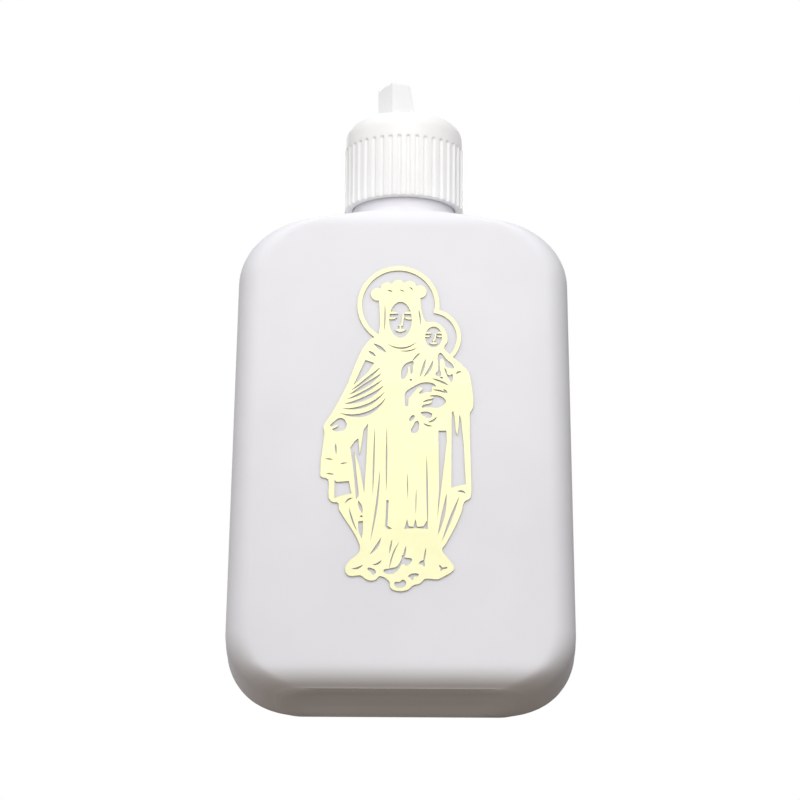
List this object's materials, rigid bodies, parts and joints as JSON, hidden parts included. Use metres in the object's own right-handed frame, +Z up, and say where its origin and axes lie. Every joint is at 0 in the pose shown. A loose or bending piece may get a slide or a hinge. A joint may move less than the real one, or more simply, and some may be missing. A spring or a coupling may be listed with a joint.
{
  "type": "holy water bottle",
  "caption": "Flat white squeeze bottle for holy water, with a ribbed screw cap, a flip-up spout in the cap and a gold devotional figure on its front.",
  "frame": {"origin": "middle of the base, on the surface that the bottle stands on", "axes": "+Z up along the neck, +X across the width, front with the figure towards -Y"},
  "size_m": [0.066, 0.0283, 0.1246],
  "materials": {
    "flask": "satin blow-moulded polyethylene",
    "gold_foil": "pale gold metallised film",
    "cap": "semi-gloss moulded polypropylene",
    "washer": "soft foamed polyethylene"
  },
  "bodies": {
    "bottle": {"bottle_body": "flask", "foil_figure": "gold_foil"},
    "liner": {"cap_liner": "washer"},
    "cap": {"cap_shell": "cap"},
    "spout": {"flip_spout": "cap"}
  },
  "joints": [
    {"name": "cap_lift", "type": "slide", "parent": "bottle", "child": "liner", "axis": [0, 0, 1], "range_m": [0, 0.00476]},
    {"name": "cap_turn", "type": "hinge", "parent": "liner", "child": "cap", "pos_m": [0, 0, 0.1085], "axis": [0, 0, 1], "range_deg": [0, 540]},
    {"name": "spout_flip", "type": "hinge", "parent": "cap", "child": "spout", "pos_m": [-0.00108, 0.00144, 0.1129], "axis": [-0.7986, -0.6018, 0], "range_deg": [-8, 82]}
  ],
  "couplings": [
    {"joint": "cap_lift", "follows": "cap_turn", "m_per_rad": 0.00050532}
  ]
}
